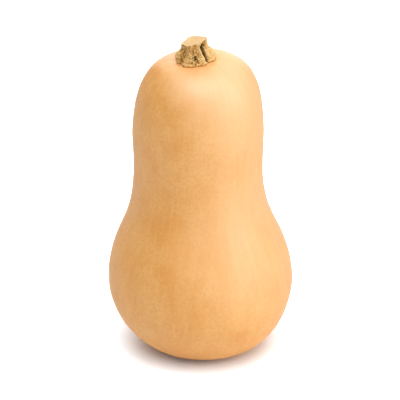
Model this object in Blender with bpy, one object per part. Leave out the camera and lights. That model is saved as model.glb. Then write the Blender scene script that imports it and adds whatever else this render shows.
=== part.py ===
"""A butternut squash standing on its blossom end, with the cut stem on top.

Two solids: the fruit, turned from one outline and then made a little uneven, and the woody stem,
whose five ridges flare out where they join the fruit. Metres, +Z up, the origin on the surface that
the fruit stands on, under the middle of its bulb.
"""

import math

import bmesh
import bpy
from mathutils import Vector

# Driving dimensions of the fruit.
BULB_RADIUS = 0.0604
BULB_HEIGHT = 0.0465
WAIST_RADIUS = 0.0413
WAIST_HEIGHT = 0.1305
NECK_RADIUS = 0.0419
NECK_HEIGHT = 0.1500
FRUIT_HEIGHT = 0.2045

# How full the outline's curves are: each is the share of its span that a curve's handle reaches.
BELLY_OUT = 0.46
BELLY_DOWN = 0.47
FLANK_UP = 0.455
WAIST_DOWN = 0.54
SHOULDER_UP = 0.51
SHOULDER_IN = 0.85
SHOULDER_SLOPE = 0.25
STRAIGHT = 0.33

# The blossom end: a scar in a shallow dimple, inside the flat ring that the fruit stands on.
SCAR_DEPTH = 0.0012
SCAR_FLATNESS = 0.5
DIMPLE_ROUND = 0.3
FOOT_INNER_RADIUS = 0.0090
FOOT_OUTER_RADIUS = 0.0210

# The seat at the top, where the skin rolls over and the stem stands.
SEAT_RADIUS = 0.0146
SEAT_LIP_RADIUS = 0.0172
SEAT_DEPTH = 0.0012
SEAT_ROLL = 0.0006

# What makes the fruit uneven: the neck leans to -X, its shoulders tip up towards +X with the seat a
# little off their middle, the bulb is slightly oval, and ten shallow ribs run from stem to blossom end.
NECK_SHIFT = 0.0020
SHOULDER_START = 0.1300
SHOULDER_TILT = 0.060
SEAT_SHIFT = 0.0026
SEAT_SHIFT_REACH = 0.032
BULB_OVALITY = 0.006
OVAL_ANGLE = math.radians(35.0)
RIB_COUNT = 10
RIB_DEPTH = 0.0035
STEM_RIBS = 5
SHOULDER_RIB_DEPTH = 0.012

# Driving dimensions of the stem, whose base stands on the seat with a hairline gap.
STEM_HEIGHT = 0.0132
STEM_GAP = 0.0003
STEM_BASE_RADIUS = 0.0122
STEM_WAIST_RADIUS = 0.0078
STEM_WAIST_SHARE = 0.58
STEM_TOP_RADIUS = 0.0079
STEM_FOOT_ROUND = 0.0012
STEM_FLARE_HEIGHT = 0.0019
STEM_FLARE_UP = 0.0021
STEM_FLARE_IN = 0.0032
STEM_WAIST_OUT = 0.0006
STEM_WAIST_UP = 0.0016
STEM_CUT_ROUND = 0.0006
STEM_TOP_TILT = math.radians(7.0)
STEM_TIP_START = 0.35
RIDGE_ANGLE = math.radians(18.0)
RIDGE_SHARPNESS = 1.4
BASE_GROOVE_DEPTH = 0.19
TOP_GROOVE_DEPTH = 0.12
GROOVE_START = 0.2
CLEFT_ANGLE = math.radians(-33.0)
CLEFT_WIDTH = math.radians(13.0)
CLEFT_DEPTH = 0.17
CLEFT_RISE = 0.55
CLEFT_REACH = 0.42

FRUIT_SEGMENTS = 60
STEM_SEGMENTS = 80
SHARP_EDGE = math.radians(50.0)
TINY = 1e-6


def smooth_step(low, high, value):
    """0 below low, 1 above high, and a smooth rise between them."""
    share = min(max((value - low) / (high - low), 0.0), 1.0)
    return share * share * (3.0 - 2.0 * share)


def bell(centre, width, value):
    """1 at centre, falling away smoothly to nearly 0 at about two widths on either side."""
    return math.exp(-(((value - centre) / width) ** 2))


def span(start, start_pull, end_pull, end, count):
    """Points of a Bezier span from start to end, without start itself. Each pull is an offset from its end."""
    start, end = Vector(start), Vector(end)
    first, second = start + Vector(start_pull), end + Vector(end_pull)
    points = []
    for step in range(1, count + 1):
        t = step / count
        u = 1.0 - t
        points.append(u**3 * start + 3 * u**2 * t * first + 3 * u * t**2 * second + t**3 * end)
    return points


def fruit_outline():
    """(radius, height) from the blossom scar, out and up round the bulb and neck, to the stem's seat."""
    scar = (0.0, SCAR_DEPTH)
    foot_inner = (FOOT_INNER_RADIUS, 0.0)
    foot_outer = (FOOT_OUTER_RADIUS, 0.0)
    bulb = (BULB_RADIUS, BULB_HEIGHT)
    waist = (WAIST_RADIUS, WAIST_HEIGHT)
    neck = (NECK_RADIUS, NECK_HEIGHT)
    lip = (SEAT_LIP_RADIUS, FRUIT_HEIGHT)
    seat_edge = (SEAT_RADIUS, FRUIT_HEIGHT - SEAT_DEPTH)
    seat_centre = (0.0, FRUIT_HEIGHT - SEAT_DEPTH)

    scar_pull = SCAR_FLATNESS * FOOT_INNER_RADIUS
    dimple_pull = DIMPLE_ROUND * FOOT_INNER_RADIUS
    foot_to_bulb = BULB_RADIUS - FOOT_OUTER_RADIUS
    bulb_to_waist = WAIST_HEIGHT - BULB_HEIGHT
    waist_to_neck = NECK_HEIGHT - WAIST_HEIGHT
    neck_to_lip = FRUIT_HEIGHT - NECK_HEIGHT
    shoulder_reach = SHOULDER_IN * (NECK_RADIUS - SEAT_LIP_RADIUS)
    shoulder_pull = (shoulder_reach, -SHOULDER_SLOPE * shoulder_reach)

    points = [Vector(scar)]
    points += span(scar, (scar_pull, 0), (-dimple_pull, 0), foot_inner, 4)
    points += span(foot_inner, (0, 0), (0, 0), foot_outer, 1)
    points += span(foot_outer, (BELLY_OUT * foot_to_bulb, 0), (0, -BELLY_DOWN * BULB_HEIGHT), bulb, 14)
    points += span(bulb, (0, FLANK_UP * bulb_to_waist), (0, -WAIST_DOWN * bulb_to_waist), waist, 14)
    points += span(waist, (0, STRAIGHT * waist_to_neck), (0, -STRAIGHT * waist_to_neck), neck, 3)
    points += span(neck, (0, SHOULDER_UP * neck_to_lip), shoulder_pull, lip, 13)
    points += span(lip, (-2 * SEAT_ROLL, 0), (SEAT_ROLL, SEAT_ROLL), seat_edge, 2)
    points += span(seat_edge, (0, 0), (0, 0), seat_centre, 1)
    return points


def shape_fruit(point):
    """Moves a point of the turned fruit to its place on the real, uneven one."""
    radius = math.hypot(point.x, point.y)
    angle = math.atan2(point.y, point.x)
    height = point.z
    on_side = smooth_step(FOOT_OUTER_RADIUS, BULB_RADIUS, radius)
    near_top = smooth_step(SHOULDER_START, FRUIT_HEIGHT - SEAT_DEPTH, height)
    near_stem = smooth_step(NECK_HEIGHT, FRUIT_HEIGHT, height) * smooth_step(0.0, SEAT_RADIUS, radius)

    ribs = RIB_DEPTH * on_side * math.cos(RIB_COUNT * angle)
    stem_ribs = SHOULDER_RIB_DEPTH * near_stem * math.cos(STEM_RIBS * (angle - RIDGE_ANGLE))
    oval = BULB_OVALITY * on_side * math.cos(2.0 * (angle - OVAL_ANGLE))
    seat_pull = near_top * (1.0 - smooth_step(SEAT_LIP_RADIUS, SEAT_SHIFT_REACH, radius))
    radius *= 1.0 + ribs + stem_ribs + oval

    x = radius * math.cos(angle) - SEAT_SHIFT * seat_pull
    y = radius * math.sin(angle)
    height += SHOULDER_TILT * x * near_top
    x -= NECK_SHIFT * smooth_step(0.0, WAIST_HEIGHT, height)
    return Vector((x, y, height))


def stem_outline():
    """(radius, height) of the stem before its ridges, from the middle of its base to that of its cut top."""
    base = (0.0, 0.0)
    foot = (STEM_BASE_RADIUS - STEM_FOOT_ROUND, 0.0)
    flare = (STEM_BASE_RADIUS, STEM_FLARE_HEIGHT)
    waist = (STEM_WAIST_RADIUS, STEM_WAIST_SHARE * STEM_HEIGHT)
    cut = (STEM_TOP_RADIUS, STEM_HEIGHT - STEM_CUT_ROUND)
    cut_edge = (STEM_TOP_RADIUS - STEM_CUT_ROUND, STEM_HEIGHT)
    cut_middle = (0.0, STEM_HEIGHT)
    cut_pull = 0.5 * STEM_CUT_ROUND

    points = [Vector(base)]
    points += span(base, (0, 0), (0, 0), foot, 3)
    points += span(foot, (STEM_FOOT_ROUND, 0), (0, -STEM_FOOT_ROUND), flare, 4)
    points += span(flare, (0, STEM_FLARE_UP), (STEM_WAIST_OUT, -STEM_FLARE_IN), waist, 9)
    points += span(waist, (0, STEM_WAIST_UP), (0, -STEM_WAIST_UP), cut, 5)
    points += span(cut, (0, cut_pull), (cut_pull, 0), cut_edge, 2)
    points += span(cut_edge, (0, 0), (0, 0), cut_middle, 2)
    return points


def shape_stem(point):
    """Cuts the five grooves and the deep cleft into a point of the turned stem, and tips its cut top."""
    radius = math.hypot(point.x, point.y)
    angle = math.atan2(point.y, point.x)
    rise = point.z / STEM_HEIGHT
    outward = smooth_step(GROOVE_START * STEM_TOP_RADIUS, STEM_TOP_RADIUS, radius)

    groove = (0.5 - 0.5 * math.cos(STEM_RIBS * (angle - RIDGE_ANGLE))) ** RIDGE_SHARPNESS
    depth = BASE_GROOVE_DEPTH + (TOP_GROOVE_DEPTH - BASE_GROOVE_DEPTH) * rise
    cleft = CLEFT_DEPTH * bell(CLEFT_ANGLE, CLEFT_WIDTH, angle) * bell(CLEFT_RISE, CLEFT_REACH, rise)
    radius *= 1.0 - outward * (depth * groove + cleft)

    x = radius * math.cos(angle)
    y = radius * math.sin(angle)
    tip = math.tan(STEM_TOP_TILT) * x * smooth_step(STEM_TIP_START, 1.0, rise)
    return Vector((x, y, point.z + tip))


def turned(name, outline, segments, shape):
    """A closed mesh: the outline spun once round Z, with every point then moved by shape."""
    shell = bmesh.new()
    points = [shell.verts.new((radius, 0.0, height)) for radius, height in outline]
    edges = [shell.edges.new(pair) for pair in zip(points, points[1:])]
    bmesh.ops.spin(
        shell,
        geom=points + edges,
        cent=(0.0, 0.0, 0.0),
        axis=(0.0, 0.0, 1.0),
        angle=math.tau,
        steps=segments,
        use_merge=True,
    )
    bmesh.ops.remove_doubles(shell, verts=shell.verts, dist=TINY)
    for vertex in shell.verts:
        vertex.co = shape(vertex.co)
    bmesh.ops.recalc_face_normals(shell, faces=shell.faces)
    mesh = bpy.data.meshes.new(name)
    shell.to_mesh(mesh)
    shell.free()
    mesh.shade_smooth()
    mesh.set_sharp_from_angle(angle=SHARP_EDGE)
    return mesh


def plain_material(name, colour, roughness):
    material = bpy.data.materials.new(name)
    material.use_nodes = True
    surface = material.node_tree.nodes["Principled BSDF"]
    surface.inputs["Base Color"].default_value = (*colour, 1.0)
    surface.inputs["Roughness"].default_value = roughness
    surface.inputs["Metallic"].default_value = 0.0
    return material


def add_node(name, mesh, material, location):
    mesh.materials.append(material)
    node = bpy.data.objects.new(name, mesh)
    node.location = location
    bpy.context.scene.collection.objects.link(node)
    return node


def middle_of(mesh):
    """The middle of the mesh's extents in X and Y."""
    across = [vertex.co.x for vertex in mesh.vertices]
    deep = [vertex.co.y for vertex in mesh.vertices]
    return Vector(((min(across) + max(across)) / 2, (min(deep) + max(deep)) / 2, 0.0))


def clear_scene():
    for thing in list(bpy.data.objects):
        bpy.data.objects.remove(thing)


def main():
    clear_scene()
    skin = plain_material("squash_skin", (0.83, 0.50, 0.21), 0.45)
    cork = plain_material("dry_stem", (0.50, 0.34, 0.17), 0.85)

    fruit_mesh = turned("fruit", fruit_outline(), FRUIT_SEGMENTS, shape_fruit)
    to_origin = -middle_of(fruit_mesh)
    add_node("fruit", fruit_mesh, skin, to_origin)

    seat = shape_fruit(Vector((0.0, 0.0, FRUIT_HEIGHT - SEAT_DEPTH)))
    stem_mesh = turned("stem", stem_outline(), STEM_SEGMENTS, shape_stem)
    stem = add_node("stem", stem_mesh, cork, to_origin + seat + Vector((0.0, 0.0, STEM_GAP)))
    stem.rotation_euler.y = -math.atan(SHOULDER_TILT)


main()
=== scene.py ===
# %% [markdown]
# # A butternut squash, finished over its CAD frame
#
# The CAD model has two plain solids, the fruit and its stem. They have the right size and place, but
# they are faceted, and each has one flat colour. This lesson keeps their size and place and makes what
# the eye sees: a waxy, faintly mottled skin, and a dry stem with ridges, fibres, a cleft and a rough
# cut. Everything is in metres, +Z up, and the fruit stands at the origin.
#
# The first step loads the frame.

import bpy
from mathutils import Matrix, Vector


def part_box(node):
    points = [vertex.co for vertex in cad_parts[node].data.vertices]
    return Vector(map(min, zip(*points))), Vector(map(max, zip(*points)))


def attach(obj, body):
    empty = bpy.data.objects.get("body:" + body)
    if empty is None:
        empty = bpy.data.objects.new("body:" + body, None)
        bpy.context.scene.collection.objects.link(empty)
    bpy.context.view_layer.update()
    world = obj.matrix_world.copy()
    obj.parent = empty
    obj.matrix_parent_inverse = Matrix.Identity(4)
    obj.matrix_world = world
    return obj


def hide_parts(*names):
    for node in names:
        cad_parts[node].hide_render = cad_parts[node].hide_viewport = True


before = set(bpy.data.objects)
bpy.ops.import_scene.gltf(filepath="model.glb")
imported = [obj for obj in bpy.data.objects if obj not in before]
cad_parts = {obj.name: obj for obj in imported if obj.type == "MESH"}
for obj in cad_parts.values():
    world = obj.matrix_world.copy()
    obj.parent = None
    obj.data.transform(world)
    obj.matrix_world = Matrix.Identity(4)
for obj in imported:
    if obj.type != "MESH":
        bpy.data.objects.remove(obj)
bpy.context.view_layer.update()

# %% Tools used all through
import math

import bpy
import numpy as np
from mathutils import Vector, noise
from mathutils.bvhtree import BVHTree

MM = 0.001


# %% [markdown]
# ## Reading the CAD fruit
#
# The skin could be the CAD mesh with a subdivision modifier, but its long triangles would show in the
# highlights as ripples. It could be a voxel remesh, whose squares don't follow the fruit. A squash
# grows in lines that run from the stem to the blossom end, so a grid of such lines is the natural
# mesh. Each of its points is found by shooting a ray from inside the fruit and noting how far off the
# CAD surface is.

# %% A probe that measures how far away a CAD surface is
def surface_of(node):
    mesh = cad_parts[node].data
    corners = [vertex.co for vertex in mesh.vertices]
    return BVHTree.FromPolygons(corners, [tuple(face.vertices) for face in mesh.polygons])


def distance_to(surface, start, direction):
    return surface.ray_cast(Vector(start), Vector(direction))[3]


fruit_low, fruit_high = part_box("fruit")
stem_low, stem_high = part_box("stem")
fruit_surface = surface_of("fruit")
FRUIT_TALL = fruit_high.z - fruit_low.z
print(f"fruit {FRUIT_TALL / MM:.1f} mm tall, {(fruit_high.x - fruit_low.x) / MM:.1f} mm across")


# %% [markdown]
# The rays start on a spine inside the fruit. Below, they fan out from one point in the bulb, then the
# point climbs the neck with the rays level, and at the top they fan out again. `travel` says how far
# along this path a ring of rays is: 0 at the blossom end, 1 where the bulb is widest, 2 where the
# shoulders begin, and 3 under the stem. The spine leans a little, because the stem isn't quite above
# the scar.

# %% The spine, and the rays that leave it
BULB_HUB = fruit_low.z + 0.24 * FRUIT_TALL
SHOULDER_HUB = fruit_low.z + 0.74 * FRUIT_TALL
stem_middle = (stem_low + stem_high) / 2


def spine_at(height):
    lean = (height - fruit_low.z) / FRUIT_TALL
    return np.array((lean * stem_middle.x, lean * stem_middle.y, height))


def ray_at(travel, angle):
    """Where a ray starts and which way it goes."""
    climb = min(max(travel - 1.0, 0.0), 1.0)
    tilt = (min(travel - 1.0, 0.0) + max(travel - 2.0, 0.0)) * math.pi / 2
    start = spine_at(BULB_HUB + climb * (SHOULDER_HUB - BULB_HUB))
    level = math.cos(tilt)
    return start, np.array((level * math.cos(angle), level * math.sin(angle), math.sin(tilt)))


# %% [markdown]
# Rings that are evenly spaced in `travel` would crowd where the fruit is slender. A string laid down
# the side of the fruit is measured first, and the rings are then placed at even steps along it, with
# smaller steps round the stem and the blossom scar, where there is more to show.

# %% Choose where the rings go
SKIN_SEGMENTS = 320
SKIN_RINGS = 268
FINE_NEAR_ENDS = 2.2
FINE_REACH = 0.16


def string_down_the_side(samples=600):
    travel = np.linspace(0.0, 3.0, samples)
    laid = []
    for share in travel:
        start, along = ray_at(share, 0.25 * math.pi)
        laid.append(start + along * distance_to(fruit_surface, start, along))
    steps = np.linalg.norm(np.diff(laid, axis=0), axis=1)
    return travel, np.concatenate(([0.0], np.cumsum(steps)))


travel, length = string_down_the_side()
ends = np.exp(-((length / length[-1] / FINE_REACH) ** 2))
ends = ends + ends[::-1]
weighted = np.concatenate(([0.0], np.cumsum(np.diff(length) * (1 + FINE_NEAR_ENDS * ends[1:]))))
ring_travel = np.interp(np.linspace(0.0, weighted[-1], SKIN_RINGS + 2), weighted, travel)
print(f"string from scar to stem: {length[-1] / MM:.0f} mm, {SKIN_RINGS} rings on it")


# %% [markdown]
# The distances come back with the CAD's flat facets in them. A gentle blur along both directions of
# the grid takes the facets out and leaves the form. It also softens the step of the seat under the
# stem, so that the skin closes in round it.

# %% Blur a grid of measurements
def smooth_step(low, high, value):
    share = np.clip((value - low) / (high - low), 0.0, 1.0)
    return share * share * (3.0 - 2.0 * share)


def blurred(grid, rings, segments):
    """grid with each value mixed with its neighbours; the two numbers are how far, in grid steps."""
    for axis, reach in ((0, rings), (1, segments)):
        wide = int(3 * reach) + 1
        weights = np.exp(-0.5 * (np.arange(-wide, wide + 1) / reach) ** 2)
        weights /= weights.sum()
        if axis == 0:
            padded = np.pad(grid, ((wide, wide), (0, 0)), mode="edge")
            grid = sum(w * padded[k : k + len(grid)] for k, w in enumerate(weights))
        else:
            grid = sum(w * np.roll(grid, k - wide, axis=1) for k, w in enumerate(weights))
    return grid


def blurred_points(points, rings, segments):
    return np.stack([blurred(points[..., axis], rings, segments) for axis in range(3)], axis=-1)


# %% Measure the fruit
SKIN_BLUR = (3.2, 3.4)
SEAT_BLUR = (11.0, 12.0)
SEAT_REACH = (19 * MM, 29 * MM)

angles = np.linspace(0.0, 2 * math.pi, SKIN_SEGMENTS, endpoint=False)
rays = [[ray_at(share, angle) for angle in angles] for share in ring_travel]
starts = np.array([[ray[0] for ray in ring] for ring in rays])
alongs = np.array([[ray[1] for ray in ring] for ring in rays])
reach = np.array([[distance_to(fruit_surface, *ray) for ray in ring] for ring in rays])
from_stem = np.linalg.norm((starts + alongs * reach[..., None] - np.array(stem_middle))[..., :2], axis=2)
on_top = starts[..., 2] > (BULB_HUB + SHOULDER_HUB) / 2
seat = np.where(on_top, 1.0 - smooth_step(*SEAT_REACH, from_stem), 0.0)
reach = blurred(reach, *SKIN_BLUR) * (1 - seat) + blurred(reach, *SEAT_BLUR) * seat
skin_grid = starts + alongs * reach[..., None]
print(f"{skin_grid.shape[0] * skin_grid.shape[1]} points measured")


# %% [markdown]
# ## From a grid to a mesh
#
# Both pieces are grids of rings closed by a point at either end, so one helper builds both. Another
# finds the outward direction at each point of a grid, which is the way that relief moves it.

# %% Helpers for grids
def outward(grid):
    """The unit outward direction at each point of a grid of rings."""
    across = np.roll(grid, -1, axis=1) - np.roll(grid, 1, axis=1)
    up = np.gradient(grid, axis=0)
    facing = np.cross(across, up)
    return facing / np.maximum(np.linalg.norm(facing, axis=2, keepdims=True), 1e-12)


def closed_mesh(name, grid):
    """A closed mesh over the rings of a grid. The first and last rings shrink to one point each."""
    first, last = grid[0].mean(axis=0), grid[-1].mean(axis=0)
    rings = grid[1:-1]
    count = rings.shape[1]
    points = np.concatenate(([first], rings.reshape(-1, 3), [last]))
    here = np.arange(count)
    beside = np.roll(here, -1)
    faces = []
    for ring in range(len(rings) - 1):
        low, high = 1 + ring * count, 1 + (ring + 1) * count
        faces += zip(low + here, low + beside, high + beside, high + here)
    top = 1 + (len(rings) - 1) * count
    faces += zip(np.zeros(count, int), 1 + beside, 1 + here)
    faces += zip(np.full(count, len(points) - 1), top + here, top + beside)
    mesh = bpy.data.meshes.new(name)
    mesh.from_pydata(points.tolist(), [], [tuple(map(int, face)) for face in faces])
    mesh.shade_smooth()
    piece = bpy.data.objects.new(name, mesh)
    bpy.context.scene.collection.objects.link(piece)
    return piece


def paint(piece, name, grid):
    """Stores a value for each point of the grid on the mesh, for its material to read."""
    values = np.concatenate(([grid[0].mean()], grid[1:-1].reshape(-1), [grid[-1].mean()]))
    layer = piece.data.attributes.new(name, "FLOAT", "POINT")
    layer.data.foreach_set("value", values.astype(np.float32))


def lumps(grid, size, seed, octaves=3, stretch=(1, 1, 1)):
    """Fractal noise at each point of a grid, about -1 to 1, with lumps of the given size in metres."""
    scaled = grid.reshape(-1, 3) / (size * np.array(stretch)) + 17.3 * seed
    values = [noise.fractal(Vector(point), 1.0, 2.0, octaves) for point in scaled]
    return np.array(values).reshape(grid.shape[:2])


# %% [markdown]
# ## The skin
#
# A squash's skin isn't a perfect turned form. It has broad swells where the flesh grew unevenly,
# shallow dents, and near the stem a faint pucker. They are tenths of a millimetre deep, but they are
# what breaks up the long highlight. Low on its right side the bulb is also a little fuller than the
# CAD form. All of it is real geometry and not a bump map, because it shows in the outline too.

# %% Give the skin its relief
SWELL_SIZE, SWELL_DEPTH = 34 * MM, 0.38 * MM
DENT_SIZE, DENT_DEPTH = 9 * MM, 0.05 * MM
PUCKERS, PUCKER_DEPTH = 13, 0.07 * MM
PUCKER_REACH = (11 * MM, 30 * MM)
PUCKER_WAVER, WAVER_SIZE = 0.1, 20 * MM
FULLER_AT = (math.radians(335), 12 * MM)
FULLER_SIZE = (math.radians(42), 17 * MM)
FULLER_BY = 1.75 * MM
RELIEF_STARTS = 8 * MM

skin_height = skin_grid[..., 2]
near_stem = np.where(on_top, 1.0 - smooth_step(*PUCKER_REACH, from_stem), 0.0)
pucker_turn = angles[None, :] + PUCKER_WAVER * lumps(skin_grid, WAVER_SIZE, 3, octaves=2)
fuller_turn = (angles[None, :] - FULLER_AT[0] + math.pi) % (2 * math.pi) - math.pi
fuller_away = (fuller_turn / FULLER_SIZE[0]) ** 2 + ((skin_height - FULLER_AT[1]) / FULLER_SIZE[1]) ** 2

relief = SWELL_DEPTH * lumps(skin_grid, SWELL_SIZE, 1)
relief += DENT_DEPTH * lumps(skin_grid, DENT_SIZE, 2, octaves=2)
relief += FULLER_BY * np.exp(-fuller_away)
relief += PUCKER_DEPTH * near_stem * np.cos(PUCKERS * pucker_turn)
relief *= smooth_step(0.0, RELIEF_STARTS, skin_height)
print(f"relief from {relief.min() / MM:.2f} to {relief.max() / MM:.2f} mm")


# %% [markdown]
# Under the bulb is the blossom scar, where the flower dropped off. It is a low corky button in the
# dimple that the fruit stands round, with cracks that run out from it into the skin. It would be easy
# to leave out, as it only shows when the squash is picked up, but somebody will pick it up.

# %% Add the blossom scar
SCAR_RADIUS, SCAR_RAISED = 4.6 * MM, 0.55 * MM
SCAR_EDGE = (0.75 * SCAR_RADIUS, 1.15 * SCAR_RADIUS)
SCAR_CRACKS, CRACK_DEPTH = 9, 0.22 * MM
CRACK_STARTS, CRACK_REACH = (0.4 * MM, 1.5 * MM), 7 * MM
CRACK_WAVER, CRACK_WAVER_SIZE = 2.5, 3 * MM
CORK_SIZE = 1.6 * MM

from_scar = np.hypot(skin_grid[..., 0], skin_grid[..., 1])
on_scar = np.where(on_top, 0.0, 1.0 - smooth_step(*SCAR_EDGE, from_scar))
crack_waver = CRACK_WAVER * lumps(skin_grid, CRACK_WAVER_SIZE, 5, octaves=2)
crack_turn = SCAR_CRACKS * angles[None, :] + crack_waver
crack_strength = smooth_step(*CRACK_STARTS, from_scar) * np.exp(-((from_scar / CRACK_REACH) ** 2))
crack = np.where(on_top, 0.0, crack_strength) * np.cos(crack_turn)
button = on_scar * (0.7 + 0.5 * lumps(skin_grid, CORK_SIZE, 4))
relief += SCAR_RAISED * button - CRACK_DEPTH * crack

skin_grid = skin_grid + outward(skin_grid) * relief[..., None]
skin_grid[..., 2] = np.maximum(skin_grid[..., 2], fruit_low.z)
print(f"scar {2 * SCAR_RADIUS / MM:.1f} mm across, with {SCAR_CRACKS} cracks")


# %% [markdown]
# The skin is painted paler, with a soft edge, where it faces up and to the front right, towards the
# lamps: a painted highlight. That highlight could be painted by hand. It is worked out here from the
# direction that each part of the skin faces, so it stays right if the fruit's shape changes. It is
# weaker on the bulb and round the stem.

# %% Work out the painted highlight
# Painted highlight: the direction, right of the camera and up, in which the skin is painted paler, and
# how that paler paint fades.
LIT_SIDE = (math.radians(42), math.radians(50))
HIGHLIGHT_FROM, HIGHLIGHT_FULL = 0.36, 1.04
HIGHLIGHT_LOW = 0.45
HIGHLIGHT_LOST_NEAR_STEM = 0.45
HIGHLIGHT_BLUR = (6, 6)

turn, height = LIT_SIDE
level_part = math.cos(height)
lit_direction = np.array((math.sin(turn) * level_part, -math.cos(turn) * level_part, math.sin(height)))
facing_lit_side = outward(blurred_points(skin_grid, *HIGHLIGHT_BLUR)) @ lit_direction
painted_highlight = smooth_step(HIGHLIGHT_FROM, HIGHLIGHT_FULL, facing_lit_side)
painted_highlight *= HIGHLIGHT_LOW + (1 - HIGHLIGHT_LOW) * smooth_step(BULB_HUB, SHOULDER_HUB, skin_grid[..., 2])
painted_highlight *= 1.0 - HIGHLIGHT_LOST_NEAR_STEM * near_stem
print(f"bloom covers {np.mean(painted_highlight > 0.5):.0%} of the skin")

# %% Make the skin
skin = closed_mesh("squash_skin", skin_grid)
# The painted highlight is stored on the skin for its material.
paint(skin, "painted_highlight", painted_highlight)
paint(skin, "scar", on_scar)
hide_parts("fruit")
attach(skin, "root")
print(f"skin: {len(skin.data.polygons)} faces")


# %% [markdown]
# ## The stem
#
# The stem is dry and corky. It stands on the skin like a foot with five toes: each ridge runs down
# from the cut and spreads out at its base. Between them are hollows, one of them a deep cleft. First
# comes its place. It leans the way that the CAD stem leans, which the underside of that stem tells.

# %% Where the stem stands
FACING_DOWN = -0.95


def base_of(node):
    """The middle and the outward direction of a CAD node's flat underside."""
    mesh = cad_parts[node].data
    under = [face for face in mesh.polygons if face.normal.z < FACING_DOWN]
    area = sum(face.area for face in under)
    middle = sum((face.center * face.area for face in under), Vector()) / area
    facing = sum((face.normal * face.area for face in under), Vector()).normalized()
    return middle, facing


stem_foot, stem_down = base_of("stem")
stem_lean = Vector((0, 0, 1)).rotation_difference(-stem_down)
stem_tall = stem_high.z - stem_foot.z
print(f"stem: foot at {[round(c / MM, 1) for c in stem_foot]}, {stem_tall / MM:.1f} mm tall")


# %% [markdown]
# A stem this gnarled isn't turned on a lathe. It could be sculpted from a ball, but then no part of it
# has a number that can be changed. Here it is drawn as ten lines that run down its wall, five ridges
# with five hollows between them. Each line has a direction at the foot and at the cut, and a radius at
# each of six heights. A soft curve carries the wall from one line to the next.

# %% The lines of the stem
STEM_SEGMENTS = 400
WALL_RINGS = 130
CUT_RINGS = 46
SUNK = 1.2 * MM
CUT_TILT = math.radians(7.0)
CUT_HEIGHT = 13.0 * MM

LINE_HEIGHTS = (-SUNK, 0.0, 2.5 * MM, 5.5 * MM, 9.0 * MM, CUT_HEIGHT)
STEM_LINES = (
    # direction at the foot and at the cut, then the radii in mm, from under the skin up to the cut
    ("right ridge", -8, 17, (12.0, 13.2, 13.8, 12.4, 9.6, 9.3)),
    ("right hollow", 48, 58, (10.2, 11.2, 10.6, 8.2, 7.2, 7.1)),
    ("back ridge", 100, 104, (10.8, 12.0, 11.9, 9.4, 7.8, 8.0)),
    ("back hollow", 146, 138, (9.2, 10.2, 9.4, 7.2, 6.3, 6.4)),
    ("left ridge", 192, 173, (9.4, 10.5, 11.9, 11.2, 7.9, 7.2)),
    ("left hollow", 220, 216, (8.4, 9.4, 9.7, 8.5, 7.1, 6.7)),
    ("front left ridge", 242, 246, (10.2, 11.4, 11.5, 8.9, 7.4, 6.8)),
    ("front hollow", 276, 274, (9.8, 10.8, 10.5, 8.2, 7.0, 6.5)),
    ("front right ridge", 308, 308, (10.4, 11.6, 11.5, 8.9, 7.6, 7.3)),
    ("cleft", 323, 330, (10.2, 11.2, 10.2, 8.6, 7.5, 7.3)),
)


def smooth_curve(places, values, wanted):
    """A smooth curve through values at places: each span eases between the slopes at its ends."""
    x, y = np.array(places), np.array(values)
    slope = np.gradient(y, x)
    span = np.clip(np.searchsorted(x, wanted, side="right") - 1, 0, len(x) - 2)
    width = x[span + 1] - x[span]
    t = np.clip((wanted - x[span]) / width, 0.0, 1.0)
    start = (1 + 2 * t) * (1 - t) ** 2 * y[span] + t * (1 - t) ** 2 * width * slope[span]
    end = t * t * (3 - 2 * t) * y[span + 1] + t * t * (t - 1) * width * slope[span + 1]
    return start + end


def wall_between_lines(angle, level):
    """The radius of the wall at an angle and a level, drawn from line to line."""
    climb = smooth_step(0.0, CUT_HEIGHT, level)
    lines = []
    for _, foot, top, radii in STEM_LINES:
        direction = np.radians(foot + (top - foot) * climb)
        lines.append((direction, MM * smooth_curve(LINE_HEIGHTS, radii, level)))
    radius = 0 * angle + 0 * level
    for (here, low), (there, high) in zip(lines, lines[1:] + lines[:1]):
        gap = (there - here) % (2 * math.pi)
        share = ((angle - here) % (2 * math.pi)) / gap
        eased = smooth_step(0.0, 1.0, share)
        radius = np.where(share < 1.0, low + (high - low) * eased, radius)
    return radius


wall_share = np.linspace(0.0, 1.0, WALL_RINGS)[:, None]
wall_angle = np.linspace(0.0, 2 * math.pi, STEM_SEGMENTS, endpoint=False)[None, :]
level = wall_share * (CUT_HEIGHT + SUNK) - SUNK
radius = wall_between_lines(wall_angle, level)
print(f"wall of the stem: radius {radius.min() / MM:.1f} to {radius.max() / MM:.1f} mm")


# %% [markdown]
# Then come the marks that make it this stem. A deep cleft runs down beside the front column. Between
# the column's two toes there is a little pit with wrinkles round it, like those round a navel. The foot
# ends in a rolled rim, where the stem swelled out over the skin. All of them are carved as heights on
# the wall, so they catch the light from any side.

# %% Carve the cleft
WALL_MIDDLE = 8 * MM
CLEFT_DEPTH = 3.0 * MM
CLEFT_WIDE_AT_FOOT, CLEFT_WIDE_AT_TOP = 0.90 * MM, 2.43 * MM
CLEFT_OPENS = (3 * MM, 10 * MM)
CLEFT_AT = math.radians(321.0)
CLEFT_SWING, CLEFT_SWINGS = math.radians(6.0), (1 * MM, 10 * MM)
CLEFT_WAVER = 0.6 * MM
CLEFT_BEGINS = (-1.0 * MM, 2.5 * MM)
CLEFT_CLOSES, CLEFT_CLOSED = (9.5 * MM, 12.5 * MM), 0.85
LIP_CLOSES, LIP_CLOSED = (11.5 * MM, CUT_HEIGHT), 0.5
STEM_WAVER_SIZE = 5 * MM


def around_wall(angle):
    """How far each point is round the wall from a direction, in metres."""
    turned = (wall_angle - angle + math.pi) % (2 * math.pi) - math.pi
    return turned * radius


def on_stem(radius, angle, height):
    return np.stack((radius * np.cos(angle), radius * np.sin(angle), height + 0 * radius), axis=-1)


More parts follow.
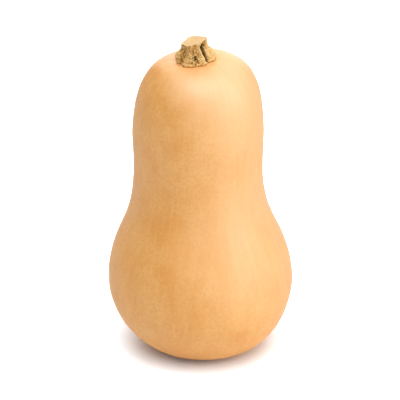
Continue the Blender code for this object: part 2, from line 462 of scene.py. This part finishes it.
around = on_stem(WALL_MIDDLE + 0 * radius, wall_angle, level)
waver = lumps(around, STEM_WAVER_SIZE, 21, octaves=2)

cleft_line = CLEFT_AT + CLEFT_SWING * smooth_step(*CLEFT_SWINGS, level)
cleft_off = around_wall(cleft_line) + CLEFT_WAVER * waver
cleft_opened = smooth_step(*CLEFT_OPENS, level)
cleft_wide = CLEFT_WIDE_AT_FOOT + (CLEFT_WIDE_AT_TOP - CLEFT_WIDE_AT_FOOT) * cleft_opened
cleft_shut = 1 - CLEFT_CLOSED * smooth_step(*CLEFT_CLOSES, level)
cleft_shut = cleft_shut * (1 - LIP_CLOSED * smooth_step(*LIP_CLOSES, level))
cleft = smooth_step(*CLEFT_BEGINS, level) * cleft_shut * np.exp(-((cleft_off / cleft_wide) ** 2))
print(f"cleft {CLEFT_DEPTH / MM:.1f} mm deep, up to {2 * cleft_wide.max() / MM:.1f} mm wide")

# %% Carve the pit and its wrinkles
PIT_TURN, PIT_HEIGHT = math.radians(278.0), 4.3 * MM
PIT_DEPTH, PIT_SIZE = 1.7 * MM, 0.8 * MM
PIT_FLATTENED = 1.15
WRINKLES, WRINKLE_DEPTH = 16, 0.30 * MM
WRINKLE_STARTS, WRINKLE_REACH = (0.4 * MM, 1.6 * MM), 4.4 * MM
WRINKLE_WAVER = 2.5

pit_side = around_wall(PIT_TURN)
pit_up = PIT_FLATTENED * (level - PIT_HEIGHT)
pit_far = np.hypot(pit_side, pit_up)
pit_turn = np.arctan2(pit_up, pit_side)
pit_star = 1.0 + 0.4 * np.cos(3 * pit_turn + 1.2)
pit = np.exp(-((pit_far / (PIT_SIZE * pit_star)) ** 2))
wrinkled = smooth_step(*WRINKLE_STARTS, pit_far) * np.exp(-((pit_far / WRINKLE_REACH) ** 2))
wrinkle = wrinkled * np.cos(WRINKLES * pit_turn + WRINKLE_WAVER * waver)
print(f"pit {PIT_DEPTH / MM:.1f} mm deep, with {WRINKLES} wrinkles")

# %% Roll the rim, and carve the wall
RIM_ROLL, RIM_WIDE = 0.70 * MM, 0.8 * MM
RIM_HEIGHT, RIM_WAVER = 0.9 * MM, 0.5 * MM
GROOVE_ABOVE, GROOVE_SHARE = 2.0 * MM, 0.45

rim_up = level - RIM_HEIGHT - RIM_WAVER * waver
rim_roll = RIM_ROLL * (0.55 + 0.45 * np.cos(wall_angle - PIT_TURN))
roll = np.exp(-((rim_up / RIM_WIDE) ** 2))
groove = np.exp(-(((rim_up - GROOVE_ABOVE) / RIM_WIDE) ** 2))
rim = rim_roll * (roll - GROOVE_SHARE * groove)
carved = radius - CLEFT_DEPTH * cleft - PIT_DEPTH * pit + WRINKLE_DEPTH * wrinkle + rim
print(f"carved wall: radius {carved.min() / MM:.1f} to {carved.max() / MM:.1f} mm")


# %% [markdown]
# The wall is corky. Strong fibres run up it, fine threads lie between them, and the flare of the foot
# is puckered across. The fibres are noise that is stretched along the stem and folded at its middle,
# so that they stand up as narrow cords.

# %% Roughen the wall
STRONG_CORDS, STRONG_SIZE = 0.40 * MM, 1.9 * MM
FINE_CORDS, FINE_SIZE = 0.26 * MM, 0.75 * MM
CROSS_CORDS, CROSS_SIZE = 0.36 * MM, 1.6 * MM
KNOTS, KNOT_SIZE = 0.30 * MM, 1.5 * MM
LOBES, LOBE_SIZE = 0.35 * MM, 6 * MM
STRONG_LOST_ON_FLARE = 0.6
FLARE_ENDS = (3 * MM, 7 * MM)
CORD_SHARPNESS = 2.2


def cords(grid, size, seed, stretch, octaves=2):
    """Narrow cords from 0 to 1: noise that is folded where it crosses zero."""
    folded = np.abs(lumps(grid, size, seed, octaves=octaves, stretch=stretch))
    return 1.0 - np.minimum(folded * CORD_SHARPNESS, 1.0)


strong = cords(around, STRONG_SIZE, 31, (1, 1, 6))
fine = cords(around, FINE_SIZE, 32, (1, 1, 5))
across = cords(around, CROSS_SIZE, 33, (2.2, 2.2, 1))
flare = 1 - smooth_step(*FLARE_ENDS, level)
wall_relief = STRONG_CORDS * (1 - STRONG_LOST_ON_FLARE * flare) * (strong - 0.5)
wall_relief += FINE_CORDS * (fine - 0.5)
wall_relief += KNOTS * lumps(around, KNOT_SIZE, 34)
wall_relief += LOBES * lumps(around, LOBE_SIZE, 13, octaves=2)
wall_relief += CROSS_CORDS * flare * (across - 0.5)

wall_height = level + wall_share * math.tan(CUT_TILT) * WALL_MIDDLE * np.cos(wall_angle)
wall = on_stem(carved, wall_angle, wall_height)
wall = wall + outward(wall) * wall_relief[..., None]
print(f"relief of the wall from {wall_relief.min() / MM:.2f} to {wall_relief.max() / MM:.2f} mm")


# %% [markdown]
# A knife or a pair of shears left the top as a flat cut, tipped a little, and its pith then dried into
# a rough crumb. The cut isn't a separate disc: the rings of the wall go on over the rim and shrink to
# the middle, so that the edge has no gap.

# %% Close the top with the cut
EDGE_ROUND = 0.25 * MM
EDGE_FROM = 0.84
CUT_LUMPS, CUT_LUMP_SIZE = 0.30 * MM, 1.5 * MM
PITH_DEPTH, PITH_SIZE = 0.26 * MM, 1.3 * MM

ring_size = np.linspace(1.0, 0.0, CUT_RINGS + 1)[1:, None, None]
top = wall[-1][None]
cut = top * ring_size
cut_plane = CUT_HEIGHT + math.tan(CUT_TILT) * cut[..., 0]
cut_edge = smooth_step(EDGE_FROM, 1.0, ring_size[..., 0])
pith = cords(cut, PITH_SIZE, 41, (1, 1, 1))
cut_rough = CUT_LUMPS * lumps(cut, CUT_LUMP_SIZE, 14) - PITH_DEPTH * pith
cut_rough -= EDGE_ROUND * (1 - cut_edge)
cut[..., 2] = cut_edge * (top[..., 2] - cut_plane[:1]) + cut_plane + cut_rough
stem_grid = np.concatenate((wall[:1] * np.array((0.0, 0.0, 1.0)), wall, cut))
print(f"cut: {np.ptp(top[..., 0]) / MM:.1f} mm across")


# %% [markdown]
# The stem's hollows are painted darker, as painted shade, and its cords paler, as a painted highlight.
# How hollow each point is comes from the wall itself: it is how far the wall lies under a blurred copy
# of it. One copy is blurred over a millimetre, for the cords, and one over three, for the cleft and the
# hollows.

# %% Measure how hollow each point is
CORD_BLUR, CORD_HOLLOW = (5, 6), 0.30 * MM
DEEP_BLUR, DEEP_HOLLOW = (14, 22), 1.1 * MM
CUT_HOLLOW = 0.6 * MM
CORD_WEIGHT, DEEP_WEIGHT, DEEP_WEIGHT_ON_FLARE = 0.34, 0.42, 0.20

relieved = carved + wall_relief
cord_hollow = (blurred(relieved, *CORD_BLUR) - relieved) / CORD_HOLLOW
deep_hollow = (blurred(relieved, *DEEP_BLUR) - relieved) / DEEP_HOLLOW
deep_weight = DEEP_WEIGHT + (DEEP_WEIGHT_ON_FLARE - DEEP_WEIGHT) * flare
hollow = np.clip(0.5 + CORD_WEIGHT * cord_hollow + deep_weight * deep_hollow, 0.0, 1.0)
hollow_cut = np.clip(0.5 - cut_rough / CUT_HOLLOW, 0.0, 1.0)
print(f"{np.mean(hollow > 0.6):.0%} of the wall is in a hollow")

# %% Make the stem
CUT_SHOWS = (0.985, 1.0)
FOOT_SHOWS = (0.3 * MM, 3.2 * MM)


def over_stem(on_wall, on_cut):
    """One grid of values over the underside, the wall and the cut."""
    return np.concatenate((0 * hollow[:1], on_wall + 0 * hollow, on_cut + 0 * hollow_cut))


placed = stem_grid @ np.array(stem_lean.to_matrix()).T + np.array(stem_foot)
stem = closed_mesh("dry_stem", placed)
# The hollow mask carries painted shade in the hollows and a painted highlight on the cords; the cleft
# mask carries painted shade in the cleft and the pit.
paint(stem, "hollow", over_stem(hollow, hollow_cut))
paint(stem, "cut", over_stem(smooth_step(*CUT_SHOWS, wall_share), 1.0))
paint(stem, "cleft", over_stem(np.maximum(cleft, pit), 0.0))
paint(stem, "foot", over_stem(1 - smooth_step(*FOOT_SHOWS, level), 0.0))
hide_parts("stem")
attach(stem, "root")
print(f"stem: {len(stem.data.polygons)} faces")


# %% [markdown]
# ## Shared effects
#
# Skin and stem are both mottled, at several sizes, so mottling is a node group that is built once and
# placed in both materials with its own values. The lines in which the fruit grew are only the skin's,
# but they are a group too, because it takes a dozen nodes to make that one mask.

# %% Helpers for nodes
def new_group(name, inputs, outputs):
    group = bpy.data.node_groups.new(name, "ShaderNodeTree")
    for title, kind, value in inputs:
        socket = group.interface.new_socket(title, in_out="INPUT", socket_type=kind)
        if value is not None:
            socket.default_value = value
    for title, kind in outputs:
        group.interface.new_socket(title, in_out="OUTPUT", socket_type=kind)
    return group


def add(tree, kind, settings=None, **inputs):
    """Adds a node. Settings are its own properties, and inputs are values or other nodes' outputs."""
    node = tree.nodes.new(kind)
    for name, value in (settings or {}).items():
        setattr(node, name, value)
    for title, value in inputs.items():
        socket = node.inputs[int(title[1:])] if title[0] == "_" else node.inputs[title.replace("_", " ")]
        if isinstance(value, bpy.types.NodeSocket):
            tree.links.new(value, socket)
        else:
            socket.default_value = value
    return node


def place(tree, group, **inputs):
    """Adds a node group to a material, with its own values, and returns what it puts out."""
    return add(tree, "ShaderNodeGroup", {"node_tree": group}, **inputs).outputs[0]


def blend_colour(tree, factor, first, second):
    """A mix of two colours, or of two nodes' outputs, by a factor from 0 to 1."""
    node = tree.nodes.new("ShaderNodeMix")
    node.data_type = "RGBA"
    for socket, value in ((node.inputs[0], factor), (node.inputs[6], first), (node.inputs[7], second)):
        if isinstance(value, tuple):
            socket.default_value = (*value, 1.0)
        else:
            tree.links.new(value, socket)
    return node.outputs[2]


def remap(tree, value, low, high, start=0.0, end=1.0):
    """Eases from start to end while the value climbs from low to high."""
    node = add(tree, "ShaderNodeMapRange", {"interpolation_type": "SMOOTHSTEP"}, _0=value)
    for index, number in enumerate((low, high, start, end), 1):
        node.inputs[index].default_value = number
    return node.outputs[0]


def lay_over(tree, colour, paints):
    """Lays paints over a colour, each where its mask lies in a span, and up to an amount."""
    for paint_colour, mask, span, amount in paints:
        colour = blend_colour(tree, remap(tree, mask, *span, 0.0, amount), colour, paint_colour)
    return colour


# %% [markdown]
# A growth line is narrow across the fruit and long down it. So the noise isn't read at the point
# itself, but at its bearing from the fruit's axis, with the height squeezed: points one above the other
# then get nearly the same value.

# %% A group: growth lines
def build_growth_lines():
    group = new_group(
        "growth_lines",
        (
            ("Position", "NodeSocketVector", None),
            ("Lines", "NodeSocketFloat", 6.0),
            ("Length", "NodeSocketFloat", 0.1),
            ("Detail", "NodeSocketFloat", 4.0),
        ),
        (("Line", "NodeSocketFloat"),),
    )
    source = group.nodes.new("NodeGroupInput")
    result = group.nodes.new("NodeGroupOutput")
    position = source.outputs["Position"]
    flat = add(group, "ShaderNodeVectorMath", {"operation": "MULTIPLY"}, _0=position, _1=(1, 1, 0))
    bearing = add(group, "ShaderNodeVectorMath", {"operation": "NORMALIZE"}, _0=flat.outputs[0])
    around = {"_0": bearing.outputs[0], "Scale": source.outputs["Lines"]}
    wide = add(group, "ShaderNodeVectorMath", {"operation": "SCALE"}, **around)
    parts = add(group, "ShaderNodeSeparateXYZ", None, _0=position)
    climb = {"_0": parts.outputs["Z"], "_1": source.outputs["Length"]}
    tall = add(group, "ShaderNodeMath", {"operation": "DIVIDE"}, **climb)
    up = add(group, "ShaderNodeCombineXYZ", None, Z=tall.outputs[0])
    where = add(group, "ShaderNodeVectorMath", {"operation": "ADD"}, _0=wide.outputs[0], _1=up.outputs[0])
    grain = {"Scale": 1.0, "Detail": source.outputs["Detail"], "Roughness": 0.6}
    pattern = add(group, "ShaderNodeTexNoise", None, Vector=where.outputs[0], **grain)
    group.links.new(pattern.outputs["Fac"], result.inputs["Line"])
    return group


growth_lines = build_growth_lines()
print("growth lines:", len(growth_lines.nodes), "nodes")


# %% [markdown]
# Mottle is plain noise, pushed apart by a soft threshold, so that it falls into patches with edges.

# %% A group: mottle
def build_mottle():
    group = new_group(
        "mottle",
        (
            ("Position", "NodeSocketVector", None),
            ("Patches per metre", "NodeSocketFloat", 60.0),
            ("Edge", "NodeSocketFloat", 0.12),
        ),
        (("Patch", "NodeSocketFloat"),),
    )
    source = group.nodes.new("NodeGroupInput")
    result = group.nodes.new("NodeGroupOutput")
    grain = {"Scale": source.outputs["Patches per metre"], "Detail": 5.0, "Roughness": 0.6}
    pattern = add(group, "ShaderNodeTexNoise", None, Vector=source.outputs["Position"], **grain)
    low = add(group, "ShaderNodeMath", {"operation": "SUBTRACT"}, _0=0.5, _1=source.outputs["Edge"])
    high = add(group, "ShaderNodeMath", {"operation": "ADD"}, _0=0.5, _1=source.outputs["Edge"])
    threshold = {"_0": pattern.outputs["Fac"], "_1": low.outputs[0], "_2": high.outputs[0]}
    spread = add(group, "ShaderNodeMapRange", {"interpolation_type": "SMOOTHSTEP"}, **threshold)
    group.links.new(spread.outputs[0], result.inputs["Patch"])
    return group


mottle = build_mottle()
print("mottle:", len(mottle.nodes), "nodes")


# %% [markdown]
# ## The materials
#
# Each one starts from the same few lines: a Principled BSDF, the object's own coordinates for its
# noise, and the masks that were painted on the mesh above.

# %% A material to start from
def new_material(name, roughness, specular):
    material = bpy.data.materials.new(name)
    material.use_nodes = True
    tree = material.node_tree
    surface = tree.nodes["Principled BSDF"]
    surface.inputs["Roughness"].default_value = roughness
    surface.inputs["Specular IOR Level"].default_value = specular
    position = add(tree, "ShaderNodeTexCoord").outputs["Object"]
    return material, tree, surface, position


def painted(tree, name):
    return add(tree, "ShaderNodeAttribute", {"attribute_name": name}).outputs["Fac"]


def fine_bump(tree, surface, position, grains_per_metre, detail, strength, depth):
    """A bump from fine noise, for grain that is too small to be geometry."""
    grain = add(tree, "ShaderNodeTexNoise", None, Vector=position, Scale=grains_per_metre, Detail=detail)
    height = grain.outputs["Fac"]
    bump = add(tree, "ShaderNodeBump", None, Strength=strength, Distance=depth, Height=height)
    tree.links.new(bump.outputs[0], surface.inputs["Normal"])


# %% [markdown]
# ### The skin's material
#
# A butternut is tan with deep orange under it. The skin is waxy: it has a broad, soft shine and no
# sharp one. Its colour is built up like thin paint. First come pale and deep patches, then blotches,
# growth lines and rusty flecks, and over them a painted highlight where the skin faces the lamps, a few
# freckles and the cork of the scar.

# %% The skin's material
SKIN_PALE = (0.815, 0.426, 0.128)
SKIN_DEEP = (0.755, 0.330, 0.062)
SKIN_RUST = (0.62, 0.255, 0.050)
# The paler colour of the painted highlight.
SKIN_PAINTED_HIGHLIGHT = (0.82, 0.490, 0.245)
SKIN_FRECKLE = (0.42, 0.190, 0.060)
SCAR_CORK = (0.30, 0.185, 0.090)
SCAR_DUST = (0.50, 0.360, 0.200)
SKIN_ROUGHNESS = (0.46, 0.56)


def squash_skin_material():
    material, tree, surface, position = new_material("waxy_skin", 0.5, 0.7)
    patches = place(tree, mottle, Position=position, Patches_per_metre=42.0, Edge=0.16)
    blotches = place(tree, mottle, Position=position, Patches_per_metre=110.0, Edge=0.20)
    flecks = place(tree, mottle, Position=position, Patches_per_metre=650.0, Edge=0.16)
    freckles = place(tree, mottle, Position=position, Patches_per_metre=290.0, Edge=0.5)
    lines = place(tree, growth_lines, Position=position, Lines=13.0, Length=0.035, Detail=5.0)
    colour = lay_over(
        tree,
        blend_colour(tree, patches, SKIN_DEEP, SKIN_PALE),
        (
            (SKIN_DEEP, blotches, (0.0, 1.0), 0.45),
            (SKIN_PALE, lines, (0.42, 0.64), 0.45),
            (SKIN_RUST, flecks, (0.1, 1.0), 0.34),
        ),
    )
    # Painted highlight: the colour is mixed towards a paler one where the skin faces the lamps, broken up
    # by the growth lines.
    painted_highlight = add(tree, "ShaderNodeMath", {"operation": "MULTIPLY"}, _0=painted(tree, "painted_highlight"))
    tree.links.new(remap(tree, lines, 0.30, 0.60, 0.86, 1.0), painted_highlight.inputs[1])
    colour = blend_colour(tree, painted_highlight.outputs[0], colour, SKIN_PAINTED_HIGHLIGHT)
    colour = lay_over(tree, colour, ((SKIN_FRECKLE, freckles, (0.80, 0.92), 0.5),))
    cork = blend_colour(tree, flecks, SCAR_CORK, SCAR_DUST)
    colour = blend_colour(tree, painted(tree, "scar"), colour, cork)
    tree.links.new(colour, surface.inputs["Base Color"])
    tree.links.new(remap(tree, patches, 0.0, 1.0, *SKIN_ROUGHNESS), surface.inputs["Roughness"])
    fine_bump(tree, surface, position, 900.0, 3.0, 0.3, 0.1 * MM)
    return material


skin.data.materials.append(squash_skin_material())
print("skin painted in", skin.data.materials[0].name)


# %% [markdown]
# ### The stem's material
#
# Dry stem is straw-coloured cork. Its cords are painted pale, as a painted highlight; its hollows are
# painted gold and dark, and the cleft and the pit nearly black, as painted shade. The cut is the palest
# part, because it is fresh pith, and the dips in it are painted darker, as shade. The masks for all of
# these came from the shape, so the colours can't slide off the marks that they belong to.

# %% The stem's material
STRAW = (0.60, 0.345, 0.100)
# Pale: a painted highlight on the cords.
STRAW_PAINTED_HIGHLIGHT = (0.84, 0.560, 0.235)
STRAW_OLIVE = (0.50, 0.320, 0.120)
STRAW_GOLD = (0.60, 0.285, 0.050)
# Near black: painted shade in the hollows, the cleft and the pit, and also the stem's real dark specks.
STRAW_DARK_SHADE_AND_SPECKS = (0.10, 0.055, 0.018)
CUT_FACE = (0.87, 0.675, 0.455)


def dry_stem_material():
    material, tree, surface, position = new_material("corky_stem", 0.8, 0.3)
    hollow = painted(tree, "hollow")
    patches = place(tree, mottle, Position=position, Patches_per_metre=170.0, Edge=0.3)
    knots = place(tree, mottle, Position=position, Patches_per_metre=800.0, Edge=0.35)
    specks = place(tree, mottle, Position=position, Patches_per_metre=1400.0, Edge=0.12)
    # Painted shade: gold, then near black, in the hollows, and near black in the cleft and the pit.
    # Painted highlight: paler on the cords.
    bark = lay_over(
        tree,
        blend_colour(tree, patches, STRAW, STRAW_OLIVE),
        (
            (STRAW_GOLD, hollow, (0.40, 0.62), 0.75),
            (STRAW_GOLD, painted(tree, "foot"), (0.1, 0.8), 0.55),
            (STRAW_PAINTED_HIGHLIGHT, hollow, (0.46, 0.20), 0.72),
            (STRAW_OLIVE, knots, (0.3, 1.0), 0.30),
            (STRAW_DARK_SHADE_AND_SPECKS, hollow, (0.64, 0.95), 0.75),
            (STRAW_DARK_SHADE_AND_SPECKS, painted(tree, "cleft"), (0.12, 0.70), 0.9),
            (STRAW_DARK_SHADE_AND_SPECKS, specks, (0.5, 1.0), 0.34),
        ),
    )
    # Painted shade: the dips of the cut are darker.
    cut_dip_shade = (STRAW, hollow, (0.35, 0.9), 0.55)
    pores = (STRAW, specks, (0.6, 1.0), 0.35)
    face = lay_over(tree, CUT_FACE, (cut_dip_shade, pores))
    colour = blend_colour(tree, painted(tree, "cut"), bark, face)
    tree.links.new(colour, surface.inputs["Base Color"])
    fine_bump(tree, surface, position, 2500.0, 4.0, 0.6, 0.15 * MM)
    return material


stem.data.materials.append(dry_stem_material())
print("stem painted in", stem.data.materials[0].name)


# %% [markdown]
# ## The studio
#
# The squash stands on a plain white floor in soft light. A real white sweep under lamps looks grey a
# little way off, unless it has its own lamps, and a picture of goods on white has none of that grey.
# So the floor glows white for the camera alone, from a short way off the squash, and its shadow stays.
# Light Path tells the camera's rays from those that carry light, so the white glow lights nothing, and
# only a faint glow reaches the squash. Close in, the floor is painted darker and warmer: a painted
# shadow, with the warm tint of light thrown back from the orange skin.

# %% Floor
FLOOR_SIZE = 6.0
FLOOR_GLOW = (0.012, 0.014, 0.014)
FLOOR_FADE = (20 * MM, 83 * MM)
SHADOW_SHAPE = (0.80, 1.0, 1.0)
SHADOW_SHIFT = (-1 * MM, 0.0, 0.0)
FLOOR_WHITE = (0.85, 1.0, 1.12)
FLOOR_PAINT = (0.93, 0.93, 0.93)
# Painted shadow: the floor's colour close to the squash, darker and warm.
FLOOR_PAINTED_SHADOW = (0.78, 0.62, 0.44)
PAINTED_SHADOW_FADE = (22 * MM, 38 * MM)


def white_floor_material():
    material = bpy.data.materials.new("white_floor")
    material.use_nodes = True
    tree = material.node_tree
    surface = tree.nodes["Principled BSDF"]
    surface.inputs["Roughness"].default_value = 0.9
    surface.inputs["Specular IOR Level"].default_value = 0.0
    surface.inputs["Emission Strength"].default_value = 1.0
    spot = add(tree, "ShaderNodeTexCoord").outputs["Object"]
    shape = {"_0": spot, "_1": SHADOW_SHAPE, "_2": SHADOW_SHIFT}
    stretched = add(tree, "ShaderNodeVectorMath", {"operation": "MULTIPLY_ADD"}, **shape)
    away = add(tree, "ShaderNodeVectorMath", {"operation": "LENGTH"}, _0=stretched.outputs[0])
    # Painted shadow near the squash, in the floor's colour.
    painted_shadow = remap(tree, away.outputs["Value"], *PAINTED_SHADOW_FADE)
    tree.links.new(blend_colour(tree, painted_shadow, FLOOR_PAINTED_SHADOW, FLOOR_PAINT), surface.inputs["Base Color"])
    far = remap(tree, away.outputs["Value"], *FLOOR_FADE)
    seen = add(tree, "ShaderNodeLightPath").outputs["Is Camera Ray"]
    fade = add(tree, "ShaderNodeMath", {"operation": "MULTIPLY"}, _0=far, _1=seen).outputs[0]
    tree.links.new(blend_colour(tree, fade, FLOOR_GLOW, FLOOR_WHITE), surface.inputs["Emission Color"])
    return material


def studio_floor():
    half = FLOOR_SIZE / 2
    corners = [(-half, -half, 0), (half, -half, 0), (half, half, 0), (-half, half, 0)]
    mesh = bpy.data.meshes.new("floor")
    mesh.from_pydata(corners, [], [(0, 1, 2, 3)])
    floor = bpy.data.objects.new("floor", mesh)
    bpy.context.scene.collection.objects.link(floor)
    floor.data.materials.append(white_floor_material())
    return floor


studio_floor()
print(f"floor {FLOOR_SIZE:.0f} m across, white from {FLOOR_FADE[1] / MM:.0f} mm away")


# %% [markdown]
# A waxy skin shows its light sources, so they are large and near. The front and overhead boxes do most
# of the work. A window and a side box model the right of the fruit, one behind lifts its far edge from
# the floor, and a weak one keeps the left side from going grey.

# %% Lights
def soft_box(name, turn, height, distance, size, power):
    """A square light that faces the squash. It stands so many degrees to the right of the camera,
    and so many above the level."""
    turn, height = math.radians(turn), math.radians(height)
    level_part = math.cos(height)
    away = Vector((math.sin(turn) * level_part, -math.cos(turn) * level_part, math.sin(height)))
    light = bpy.data.lights.new(name, "AREA")
    light.size = size
    light.energy = power
    holder = bpy.data.objects.new(name, light)
    holder.location = Vector((0, 0, FRUIT_TALL / 2)) + away * distance
    holder.rotation_mode = "QUATERNION"
    holder.rotation_quaternion = away.to_track_quat("Z", "Y")
    bpy.context.scene.collection.objects.link(holder)
    print(f"{name}: {power} W")


soft_box("window", turn=64, height=18, distance=1.5, size=1.1, power=11.0)
soft_box("side", turn=92, height=42, distance=1.5, size=1.0, power=3.4)
soft_box("front", turn=0, height=60, distance=1.6, size=1.2, power=15.5)
soft_box("overhead", turn=0, height=88, distance=1.6, size=1.8, power=17.0)
soft_box("behind", turn=180, height=20, distance=1.6, size=1.4, power=16.0)
soft_box("left", turn=-105, height=20, distance=1.6, size=1.2, power=3.4)


# %% [markdown]
# The backdrop is the world itself. It looks white, but lights the squash only faintly, so that the
# soft boxes decide the shading.

# %% Backdrop
BACKDROP_LIGHT = 0.05
BACKDROP_SEEN = 1.0

world = bpy.data.worlds.new("studio")
world.use_nodes = True
backdrop = world.node_tree.nodes["Background"]
backdrop.inputs["Color"].default_value = (1, 1, 1, 1)
looked_at = add(world.node_tree, "ShaderNodeLightPath").outputs["Is Camera Ray"]
strength = remap(world.node_tree, looked_at, 0.0, 1.0, BACKDROP_LIGHT, BACKDROP_SEEN)
world.node_tree.links.new(strength, backdrop.inputs["Strength"])
bpy.context.scene.world = world
bpy.context.scene.view_settings.view_transform = "Standard"
print(f"backdrop: lights at {BACKDROP_LIGHT}, looks like {BACKDROP_SEEN}")


# %% [markdown]
# The camera looks down at the squash from a little above, through a long lens, so that the bulb isn't
# swollen by being nearer.

# %% Camera
CAMERA_ELEVATION = math.radians(27.5)
CAMERA_DISTANCE = 1.5
AIM = Vector((-0.3 * MM, 0.0, 104.2 * MM))
LENS_LENGTH = 208.3

lens = bpy.data.cameras.new("camera")
lens.lens = LENS_LENGTH
camera = bpy.data.objects.new("camera", lens)
back = Vector((0.0, -math.cos(CAMERA_ELEVATION), math.sin(CAMERA_ELEVATION)))
camera.location = AIM + back * CAMERA_DISTANCE
camera.rotation_mode = "QUATERNION"
camera.rotation_quaternion = back.to_track_quat("Z", "Y")
bpy.context.scene.collection.objects.link(camera)
bpy.context.scene.camera = camera
print(f"camera {CAMERA_DISTANCE} m away, {math.degrees(CAMERA_ELEVATION):.1f} degrees above the level")
